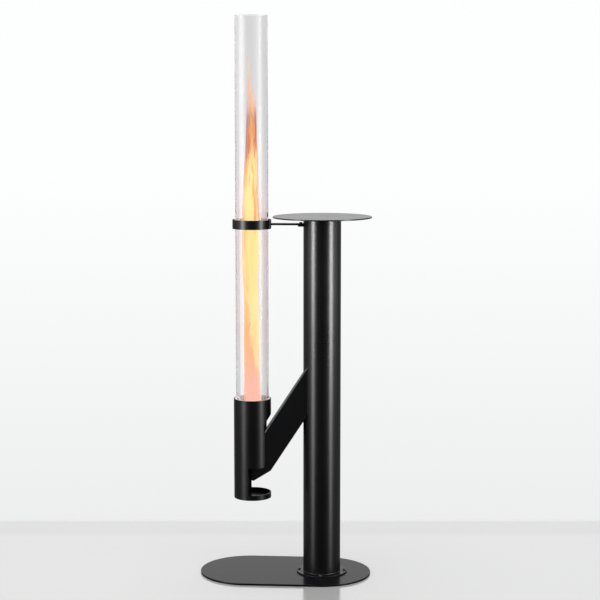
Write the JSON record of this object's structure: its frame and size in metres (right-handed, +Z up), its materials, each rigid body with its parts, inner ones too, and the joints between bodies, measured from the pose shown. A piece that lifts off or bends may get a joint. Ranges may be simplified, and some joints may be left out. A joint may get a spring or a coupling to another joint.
{
  "type": "patio heater",
  "caption": "Pellet patio heater: hopper post with a round table lid, sloped feed chute into a burner sleeve, tall glass flame tube in a hinged ring, flat base plate.",
  "frame": {"origin": "on the floor, under the middle of the base plate", "axes": "+Z up, +X from the burner towards the hopper post, -Y the front, where the ring's gate opens"},
  "size_m": [0.526, 0.3, 1.708],
  "materials": {
    "black_coat": "satin black heat-proof coating",
    "dark_hardware": "blackened steel screws",
    "heat_blued_steel": "bare steel, dull and blued by the fire",
    "spring_steel": "satin spring steel",
    "fibre_gasket": "light heat-proof fibre tape",
    "clear_glass": "clear heat-proof glass"
  },
  "bodies": {
    "stand": {"base_plate": "black_coat", "post_flange": "black_coat", "flange_bolt_1": "dark_hardware", "flange_bolt_2": "dark_hardware", "flange_bolt_3": "dark_hardware", "flange_bolt_4": "dark_hardware", "post_tube": "black_coat", "hopper_floor": "heat_blued_steel", "feed_chute": "black_coat", "burner_sleeve": "black_coat", "dish_floor": "black_coat", "glass_seat": "heat_blued_steel", "seat_gasket": "fibre_gasket", "bar_bracket": "black_coat", "support_bar": "black_coat", "bar_screw": "dark_hardware", "ring_rear": "black_coat", "ring_pin": "dark_hardware", "ring_lining_rear": "fibre_gasket"},
    "lid": {"table_top": "black_coat", "table_collar": "black_coat"},
    "glass": {"glass_tube": "clear_glass"},
    "gate": {"ring_gate": "black_coat", "ring_catch": "spring_steel", "ring_lining_front": "fibre_gasket"},
    "grate": {"fire_grate": "heat_blued_steel"}
  },
  "joints": [
    {"name": "table_lift", "type": "slide", "parent": "stand", "child": "lid", "axis": [0, 0, 1], "range_m": [0, 0.06]},
    {"name": "glass_lift", "type": "slide", "parent": "stand", "child": "glass", "axis": [0, 0, 1], "range_m": [0, 0.6]},
    {"name": "gate_hinge", "type": "hinge", "parent": "stand", "child": "gate", "pos_m": [-0.04631, -0.01777, 1.084], "axis": [0, 0, 1], "range_deg": [0, 100]},
    {"name": "grate_lift", "type": "slide", "parent": "stand", "child": "grate", "axis": [0, 0, 1], "range_m": [0, 0.05]}
  ]
}
